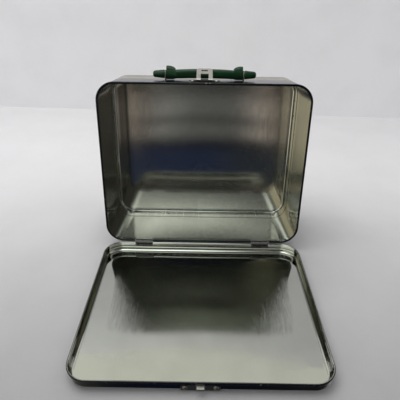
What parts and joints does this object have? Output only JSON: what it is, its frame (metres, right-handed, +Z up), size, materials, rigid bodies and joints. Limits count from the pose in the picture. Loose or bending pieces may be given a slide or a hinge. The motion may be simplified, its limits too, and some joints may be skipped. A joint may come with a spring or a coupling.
{
  "type": "metal lunch box",
  "caption": "Tinplate lunch box standing open: rounded body leaning on its flat hinged lid, with a swinging hasp, a hook catch and a moulded carrying handle in wire loops.",
  "frame": {"origin": "on the floor under the middle of the open box's footprint", "axes": "+X to the right along the hinge, +Y from the open lid to the back of the body, +Z up"},
  "size_m": [0.203, 0.268, 0.1804],
  "materials": {
    "printed_tin": "gloss dark print outside, bare tinplate inside",
    "bare_tin": "bright tinplate with rolling grain",
    "painted_hinge": "gloss dark paint, worn on the knuckles",
    "nickel_plate": "nickel plated stampings",
    "steel_wire": "drawn wire",
    "green_plastic": "moulded, semi-gloss"
  },
  "bodies": {
    "box": {"side_band": "printed_tin", "back_panel": "printed_tin", "body_hinge_leaf_left": "painted_hinge", "body_hinge_leaf_right": "painted_hinge", "hinge_pin_left": "steel_wire", "hinge_pin_right": "steel_wire", "hasp_base": "nickel_plate", "hasp_rivets": "nickel_plate", "hasp_pin": "steel_wire", "handle_loop_left": "steel_wire", "handle_loop_right": "steel_wire", "handle_backing_plate_left": "bare_tin", "handle_backing_plate_right": "bare_tin"},
    "lid": {"lid_pan": "printed_tin", "lid_hinge_leaf_left": "painted_hinge", "lid_hinge_leaf_right": "painted_hinge", "catch_plate": "nickel_plate", "catch_rivets": "nickel_plate"},
    "hasp": {"hasp": "nickel_plate"},
    "handle": {"handle": "green_plastic"}
  },
  "joints": [
    {"name": "lid_hinge", "type": "hinge", "parent": "box", "child": "lid", "pos_m": [0, 0.03403, 0.01045], "axis": [-1, 0, 0], "range_deg": [-60, 98.72]},
    {"name": "hasp_pivot", "type": "hinge", "parent": "box", "child": "hasp", "pos_m": [0, 0.07208, 0.17276], "axis": [1, 0, 0], "range_deg": [0, 154.57]},
    {"name": "handle_swing", "type": "hinge", "parent": "box", "child": "handle", "pos_m": [0, 0.0938, 0.17256], "axis": [-1, 0, 0], "range_deg": [0, 85]}
  ]
}
